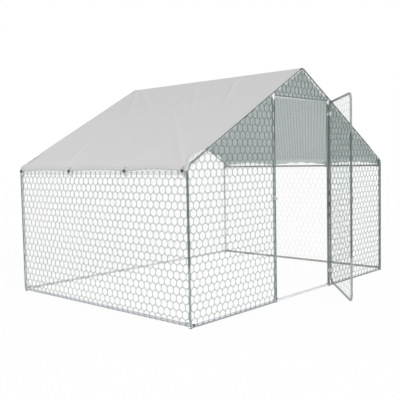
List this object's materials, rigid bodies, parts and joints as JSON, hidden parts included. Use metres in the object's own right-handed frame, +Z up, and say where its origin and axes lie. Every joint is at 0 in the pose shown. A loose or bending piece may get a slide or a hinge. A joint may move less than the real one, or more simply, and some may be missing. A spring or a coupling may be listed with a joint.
{
  "type": "chicken run",
  "caption": "Walk-in chicken run: bent galvanised tube frame with a pitched roof, hexagonal wire nets, a light grey roof cover with elastic ties and a hinged net door with a sliding bolt",
  "frame": {"origin": "centre of the underside of the front left corner foot, on the ground", "axes": "+X along the front to the right, +Y to the back, +Z up"},
  "size_m": [2.8208, 2.5875, 1.8576],
  "materials": {
    "frame_tube": "galvanised",
    "door_tube": "galvanised",
    "bright_sleeve": "brushed",
    "wire_net": "galvanised",
    "cover_fabric": "woven",
    "elastic_cord": "braided",
    "black_plastic": "satin",
    "dark_screw": "blackened",
    "zinc_fitting": "zinc plated"
  },
  "bodies": {
    "frame": {"post_front_left": "frame_tube", "post_front_right": "frame_tube", "post_back_left": "frame_tube", "post_back_right": "frame_tube", "rafter_front_left": "frame_tube", "rafter_front_right": "frame_tube", "rafter_back_left": "frame_tube", "rafter_back_right": "frame_tube", "peak_bend_front": "frame_tube", "peak_bend_back": "frame_tube", "ridge_rail": "frame_tube", "eave_rail_left": "frame_tube", "eave_rail_right": "frame_tube", "base_rail_left": "frame_tube", "base_rail_right": "frame_tube", "base_rail_back": "frame_tube", "base_rail_front_left": "frame_tube", "base_rail_front_right": "frame_tube", "door_sill": "frame_tube", "door_post_left": "frame_tube", "door_post_right": "frame_tube", "lintel": "frame_tube", "tee_left": "bright_sleeve", "tee_right": "bright_sleeve", "post_feet": "black_plastic", "base_screws": "dark_screw", "eave_screws": "dark_screw", "roof_screws": "dark_screw", "lintel_screws": "dark_screw", "net_left": "wire_net", "net_right": "wire_net", "net_back": "wire_net", "net_front_left": "wire_net", "net_front_right": "wire_net", "net_gable": "wire_net", "net_shoulder_left": "wire_net", "net_shoulder_right": "wire_net", "net_roof_left": "wire_net", "net_roof_right": "wire_net", "roof_cover": "cover_fabric", "cover_eyelets": "zinc_fitting", "cover_ties": "elastic_cord", "tie_balls": "black_plastic", "hinge_strap_top": "zinc_fitting", "hinge_strap_bottom": "zinc_fitting", "hinge_screws": "dark_screw", "latch_keeper": "zinc_fitting", "keeper_screw": "dark_screw"},
    "door": {"door_frame": "door_tube", "door_net": "wire_net", "hinge_collars": "zinc_fitting", "latch_plate": "zinc_fitting", "latch_screws": "dark_screw"},
    "latch_bolt_body": {"latch_bolt": "zinc_fitting"}
  },
  "joints": [
    {"name": "door_swing", "type": "hinge", "parent": "frame", "child": "door", "pos_m": [1.775, -0.0245, 0.8], "axis": [0, 0, 1], "range_deg": [-41.5, 108]},
    {"name": "latch_slide", "type": "slide", "parent": "door", "child": "latch_bolt_body", "axis": [-0.749, -0.6626, 0], "range_m": [0, 0.03]}
  ]
}
